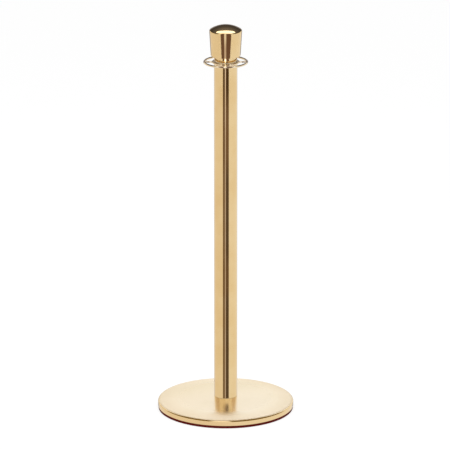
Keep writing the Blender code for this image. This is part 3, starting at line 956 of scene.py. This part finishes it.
def make_floor():
    """A plain white floor. Part of its light is its own, which keeps the shadow on it faint."""
    half = FLOOR_SIZE / 2
    verts = [(-half, -half, 0), (half, -half, 0), (half, half, 0), (-half, half, 0)]
    material = bpy.data.materials.new("white_floor")
    material.use_nodes = True
    tree = material.node_tree
    tree.nodes.clear()
    glow = add(tree, "Emission", {"Color": (1, 1, 1, 1), "Strength": 1.0})
    paint = add(tree, "BsdfDiffuse", {"Color": (0.93, 0.93, 0.93, 1)})
    blend = add(tree, "MixShader", {0: FLOOR_GLOW, 1: paint.outputs[0], 2: glow.outputs[0]})
    add(tree, "OutputMaterial", {"Surface": blend.outputs[0]})
    floor = new_piece("studio_floor", verts, [(0, 1, 2, 3)], material)
    floor.visible_glossy = False


def make_card(name, verts, faces, build_tone):
    """A card that is seen only in reflections, and only from its front. build_tone returns its
    colour, and how much of the card is there."""
    material = bpy.data.materials.new(name)
    material.use_nodes = True
    tree = material.node_tree
    tree.nodes.clear()
    colour, cover = build_tone(tree)
    tone = add(tree, "Emission", {"Color": colour, "Strength": 1.0})
    clear = add(tree, "BsdfTransparent")
    back = add(tree, "NewGeometry").outputs["Backfacing"]
    shown = product(tree, calculate(tree, "SUBTRACT", 1.0, back), cover)
    blend = add(tree, "MixShader", {0: shown, 1: clear.outputs[0], 2: tone.outputs[0]})
    add(tree, "OutputMaterial", {"Surface": blend.outputs[0]})
    data = bpy.data.meshes.new(name)
    data.from_pydata(verts, [], faces)
    data.materials.append(material)
    card = bpy.data.objects.new(name, data)
    bpy.context.scene.collection.objects.link(card)
    card.visible_camera = False
    card.visible_diffuse = False
    card.visible_shadow = False
    card.visible_transmission = False
    card.visible_volume_scatter = False


def curved_card(name, radius, edges, heights, build_tone):
    """A card round the post's axis that faces it, between two azimuths and two heights."""
    steps = 48
    verts = []
    faces = []
    for i in range(steps + 1):
        azimuth = math.radians(edges[0] + (edges[1] - edges[0]) * i / steps)
        x = radius * math.sin(azimuth)
        y = -radius * math.cos(azimuth)
        verts.append((x, y, heights[0]))
        verts.append((x, y, heights[1]))
        if i:
            faces.append((2 * i - 2, 2 * i - 1, 2 * i + 1, 2 * i))
    make_card(name, verts, faces, build_tone)


def azimuth_of(tree, place):
    """Degrees from the camera's side, positive to the right."""
    parts = add(tree, "SeparateXYZ", {0: place}).outputs
    front = product(tree, parts["Y"], -1)
    return calculate(tree, "DEGREES", calculate(tree, "ARCTAN2", parts["X"], front))


def band(tree, value, middle, half_width, edge):
    """1 within half_width of the middle, fading to 0 over the edge."""
    off = calculate(tree, "ABSOLUTE", calculate(tree, "SUBTRACT", value, middle))
    return ramp(tree, off, half_width, half_width + edge, 1, 0)


def between(tree, value, low, high, softness):
    """1 from low to high, fading to 0 across each end."""
    above = ramp(tree, calculate(tree, "SUBTRACT", value, low), -softness, softness)
    below = ramp(tree, calculate(tree, "SUBTRACT", value, high), -softness, softness, 1, 0)
    return product(tree, above, below)


def met_place(tree):
    """Where a ray meets the card."""
    return add(tree, "NewGeometry").outputs["Position"]


def ray_drop(tree):
    """How steeply the ray that meets the card goes down, and less than 0 where it goes up."""
    return z_part(tree, add(tree, "NewGeometry").outputs["Incoming"])


def seen_from(tree):
    """The height that a reflected ray starts at."""
    height = z_part(tree, met_place(tree))
    reach = add(tree, "LightPath").outputs["Ray Length"]
    return calculate(tree, "ADD", height, product(tree, ray_drop(tree), reach))


def second_reflection(tree):
    """1 for a ray that has been reflected twice, and 0 for one that has been reflected once."""
    return ramp(tree, add(tree, "LightPath").outputs["Ray Depth"], 1.2, 1.8)


def front_edge(tree, finial, widening, side):
    """The azimuth of one edge of the dark gap: side is 0 for the left one and 1 for the right."""
    edge = ramp(tree, finial, 0, 1, POST_GAP[side], FINIAL_GAP[side])
    return calculate(tree, "ADD", edge, product(tree, widening, GAP_WIDENING[side]))


def gap_cover(tree, azimuth, left, right):
    """How much of the dark gap is there. The base doesn't see it, and the base's reflection of
    the post's foot leaves it out."""
    start = seen_from(tree)
    above_base = ramp(tree, start, BASE_TOP, BASE_TOP + 1 * MM)
    near_foot = product(tree, second_reflection(tree), ramp(tree, start, *FOOT_HEIGHTS, 1, 0))
    gap = between(tree, azimuth, left, right, GAP_SOFTNESS)
    return product(tree, gap, above_base, calculate(tree, "SUBTRACT", 1.0, near_foot))


def gap_tone(tree, height, azimuth, finial):
    """The gap's dark, which is browner at two heights. The left of its light line is paler, the
    more so in second reflections."""
    right = mix(tree, ramp(tree, height, 0.7, 0.9), (0.115, 0.085, 0.062), (0.085, 0.05, 0.025))
    left = mix(tree, ramp(tree, height, 0.6, 0.75), (0.24, 0.175, 0.125), (0.15, 0.10, 0.06))
    left = mix(tree, second_reflection(tree), left, (0.66, 0.60, 0.52))
    dark = mix(tree, ramp(tree, azimuth, -8, -5), left, right)
    lower = product(tree, band(tree, height, 0.33, 0.02, 0.06), 0.6)
    brown = calculate(tree, "ADD", band(tree, height, 0.72, 0.04, 0.1), lower)
    dark = mix(tree, brown, dark, (0.20, 0.13, 0.085))
    return mix(tree, finial, dark, (0.185, 0.112, 0.088))


def line_tone(tree, height, finial):
    """The light line, which glints where the neck sees it."""
    along_post = mix(tree, ramp(tree, height, 0.65, 0.88), (0.65, 0.59, 0.62), (0.95, 0.90, 1.0))
    along_finial = mix(tree, ramp(tree, height, 0.94, 0.98), (0.66, 0.58, 0.6), (0.95, 0.95, 1.0))
    light = mix(tree, finial, along_post, along_finial)
    shallow = ramp(tree, ray_drop(tree), 0.3, 0.32, 1, 0)
    neck = product(tree, band(tree, height, NECK_HEIGHT, 0.012, 0.003), shallow)
    return mix(tree, neck, light, NECK_GLINT)


def front_tone(tree):
    """The dark gap between the lights, with a thin light line in it. It is wider and browner
    where the finial sees it than along the post."""
    place = met_place(tree)
    height = z_part(tree, place)
    azimuth = azimuth_of(tree, place)
    finial = ramp(tree, height, *FINIAL_HEIGHTS)
    widening = ramp(tree, height, *WIDENING_HEIGHTS)
    left, right = [front_edge(tree, finial, widening, side) for side in (0, 1)]
    cover = gap_cover(tree, azimuth, left, right)

    line_left, line_right = [
        ramp(tree, finial, 0, 1, POST_LINE[side], FINIAL_LINE[side]) for side in (0, 1)
    ]
    line = between(tree, azimuth, line_left, line_right, LINE_SOFTNESS)
    tone = mix(tree, line, gap_tone(tree, height, azimuth, finial), line_tone(tree, height, finial))

    near_ring = ramp(tree, seen_from(tree), *ECHO_HEIGHTS)
    middle = band(tree, azimuth, ECHO_MIDDLE, ECHO_HALF_WIDTH, 3)
    echo = product(tree, second_reflection(tree), near_ring, middle)
    return mix(tree, echo, tone, ECHO_GLINT), cover


def crown_tone(tree):
    """The dark of the room behind the finial. Under the finial's top it is only straight behind,
    and paler."""
    place = met_place(tree)
    height = z_part(tree, place)
    above = ramp(tree, height, *CROWN_DARK_HEIGHTS)
    behind = ramp(tree, calculate(tree, "ABSOLUTE", azimuth_of(tree, place)), *CROWN_BACK)
    dark = mix(tree, ramp(tree, height, 1.15, 1.6), (0.065, 0.06, 0.062), ROOM_DARK)
    cover = calculate(tree, "MAXIMUM", above, behind)
    cover = product(tree, cover, ramp(tree, seen_from(tree), *UPPER_PARTS))
    return mix(tree, above, (0.34, 0.32, 0.33), dark), cover


def ceiling_tone(tree):
    """A bowed strip light over the finial, and the dark of the room behind it."""
    parts = add(tree, "SeparateXYZ", {0: met_place(tree)}).outputs
    bow = product(tree, calculate(tree, "POWER", parts["X"], 2), STRIP_BOW)
    back = calculate(tree, "SUBTRACT", parts["Y"], bow)
    light = mix(tree, ramp(tree, back, *STRIP_BACK), STRIP_LIGHT, ROOM_DARK)
    finial = ramp(tree, seen_from(tree), *UPPER_PARTS)
    return light, product(tree, ramp(tree, back, *STRIP_FRONT), finial)


def make_ceiling():
    x = CEILING_WIDTH / 2
    verts = [(-x, CEILING_DEPTH, CEILING_HEIGHT), (x, CEILING_DEPTH, CEILING_HEIGHT)]
    verts += [(x, 0, CEILING_HEIGHT), (-x, 0, CEILING_HEIGHT)]
    make_card("ceiling", verts, [(0, 1, 2, 3)], ceiling_tone)


def tent_tone(tree):
    """The dark over the base, seen only from its rounded rim, with a light strip near the
    middle. Rays that go down, and second reflections, pass through it."""
    across = add(tree, "SeparateXYZ", {0: met_place(tree)}).outputs["X"]
    strip = band(tree, across, TENT_STRIP_MIDDLE, TENT_STRIP_HALF_WIDTH, 0.04)
    upward = ramp(tree, ray_drop(tree), -0.03, 0, 1, 0)
    first = calculate(tree, "SUBTRACT", 1.0, second_reflection(tree))
    rim = ramp(tree, seen_from(tree), COVER_RIM_TOP, COVER_RIM_TOP + 0.4 * MM, 1, 0)
    return mix(tree, strip, (0.20, 0.12, 0.0), (1.15, 1.15, 1.15)), product(tree, upward, first, rim)


def make_tent():
    curved_card("tent_front", TENT_RADIUS, TENT_EDGES, (0, TENT_HEIGHT), tent_tone)
    x = TENT_RADIUS
    verts = [(-x, TENT_BACK, TENT_HEIGHT), (x, TENT_BACK, TENT_HEIGHT), (x, -x, TENT_HEIGHT)]
    verts.append((-x, -x, TENT_HEIGHT))
    make_card("tent_top", verts, [(0, 1, 2, 3)], tent_tone)


def make_world():
    """White all round. Reflections also see a warmer left side, a dim back under the horizon,
    and a room that is warm at the horizon and brightens overhead. Second reflections see its
    sides brown."""
    world = bpy.data.worlds.new("studio")
    bpy.context.scene.world = world
    world.use_nodes = True
    tree = world.node_tree
    direction = add(tree, "TexCoord").outputs["Generated"]
    parts = add(tree, "SeparateXYZ", {0: direction}).outputs
    aside = calculate(tree, "ABSOLUTE", azimuth_of(tree, direction))
    behind = ramp(tree, aside, *ROOM_BACK)
    sides = mix(tree, ramp(tree, parts["X"], -0.5, 0.5), (0.95, 0.90, 0.84), (1.0, 0.99, 0.98))
    low = mix(tree, behind, sides, (0.42, 0.41, 0.42))
    high = mix(tree, ramp(tree, parts["X"], -0.2, 0.2), (1.0, 0.975, 0.93), (1.07, 1.09, 1.15))
    haze = mix(tree, ramp(tree, parts["Z"], *HAZE), (0.95, 0.915, 0.79), (1, 1, 1))
    high = tint(tree, high, haze)
    overhead = mix(tree, ramp(tree, parts["Z"], *OVERHEAD), (1, 1, 1), (1.15, 1.21, 1.3))
    high = tint(tree, high, overhead)
    brown = product(tree, band(tree, aside, *BROWN_SIDE), second_reflection(tree))
    high = tint(tree, high, mix(tree, brown, (1, 1, 1), (0.79, 0.72, 0.66)))
    seen = mix(tree, ramp(tree, parts["Z"], -0.1, 0), low, high)
    glossy = add(tree, "LightPath").outputs["Is Glossy Ray"]
    tree.links.new(mix(tree, glossy, (1, 1, 1), seen), tree.nodes["Background"].inputs["Color"])


def make_softbox():
    light = bpy.data.lights.new("softbox", "AREA")
    light.shape = "DISK"
    light.size = SOFTBOX_SIZE
    light.energy = SOFTBOX_POWER
    softbox = bpy.data.objects.new("softbox", light)
    softbox.location.z = SOFTBOX_HEIGHT
    softbox.visible_glossy = False
    softbox.visible_camera = False
    bpy.context.scene.collection.objects.link(softbox)


def make_camera():
    lens = bpy.data.cameras.new("camera")
    lens.lens = FOCAL_LENGTH
    lens.sensor_width = SENSOR_WIDTH
    lens.clip_end = 100
    camera = bpy.data.objects.new("camera", lens)
    camera.location = (CAMERA_SIDE, -CAMERA_DISTANCE, CAMERA_HEIGHT)
    drop = math.atan2(CAMERA_HEIGHT - AIM_HEIGHT, CAMERA_DISTANCE)
    camera.rotation_euler.x = math.pi / 2 - drop
    bpy.context.scene.collection.objects.link(camera)
    bpy.context.scene.camera = camera


# ---- Putting it together ----


def place(piece, node, slot):
    """The piece stands for a CAD node, and rides on the body that holds it."""
    for body, nodes in frame["record"]["behaviour"]["bodies"].items():
        if node in nodes:
            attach(piece, body)
    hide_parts(node)


def make_pieces():
    """Each piece, with the CAD node that it stands for and the slot of its material."""
    along_brass = polished_brass("polished_brass_along", "along")
    round_brass = polished_brass("polished_brass_round", "round")
    # The rope ring's brass is a paler copy of the post's: painted sheen standing in for the highlights
    # on its wire
    ring_brass_with_painted_sheen = polished_brass("polished_brass_with_painted_sheen", "round", (0.86, 0.73, 0.53), (0.82, 0.66, 0.44))
    zinc = bare_steel("zinc_plated_steel", (0.66, 0.67, 0.68), (0.50, 0.51, 0.53), 0.3, False)
    black = bare_steel("blackened_spring_steel", (0.16, 0.16, 0.17), (0.09, 0.09, 0.1), 0.4, False)
    turned = bare_steel("turned_steel", (0.56, 0.555, 0.55), (0.42, 0.415, 0.41), 0.25, True)
    plastic = nylon("natural_nylon")
    flat = washer("large_flat_washer", "base_flat_washer", BOLT_HOLE_RADIUS, 0.4 * MM, zinc)
    split = split_washer("split_spring_washer", "base_spring_washer", BOLT_HOLE_RADIUS, black)
    captive = washer("steel_captive_washer", "captive_washer", STUD_HOLE_RADIUS, 0.2 * MM, zinc)
    lock = split_washer("split_lock_washer", "finial_lock_washer", STUD_HOLE_RADIUS, black)
    return [
        (make_floor_ring(maroon_rubber("maroon_rubber")), "floor_ring", "maroon_rubber"),
        (make_base_weight(cast_iron("cast_iron")), "base_weight", "cast_iron"),
        (make_base_cover(satin_brass("satin_brass")), "base_cover", "satin_brass"),
        (make_base_bolt(zinc), "base_bolt", "zinc_steel"),
        (flat, "base_flat_washer", "zinc_steel"),
        (split, "base_spring_washer", "spring_steel"),
        (make_foot_plug(turned), "foot_plug", "turned_steel"),
        (make_post_tube(along_brass), "post_tube", "polished_brass"),
        (make_top_plug(round_brass), "top_plug", "polished_brass"),
        (make_ring_washer(plastic), "ring_washer", "nylon"),
        (make_rope_ring(ring_brass_with_painted_sheen), "rope_ring", "polished_brass"),
        (make_ring_bush(plastic), "ring_bush", "nylon"),
        (captive, "captive_washer", "zinc_steel"),
        (make_finial_base(round_brass), "finial_base", "polished_brass"),
        (make_finial_stud(zinc), "finial_stud", "zinc_steel"),
        (lock, "finial_lock_washer", "spring_steel"),
        (make_finial_nut(zinc), "finial_nut", "zinc_steel"),
        (make_finial_shell(round_brass), "finial_shell", "polished_brass"),
    ]


def main():
    for piece, node, slot in make_pieces():
        place(piece, node, slot)
        if node in HIDDEN_FROM_REFLECTIONS:
            piece.visible_glossy = False
    make_floor()
    curved_card("front_card", FRONT_CARD_RADIUS, FRONT_CARD_EDGES, FRONT_CARD_HEIGHTS, front_tone)
    curved_card("crown_card", CROWN_CARD_RADIUS, CROWN_CARD_EDGES, CROWN_CARD_HEIGHTS, crown_tone)
    make_ceiling()
    make_tent()
    make_world()
    make_softbox()
    make_camera()
    bpy.context.scene.view_settings.view_transform = "Standard"


main()
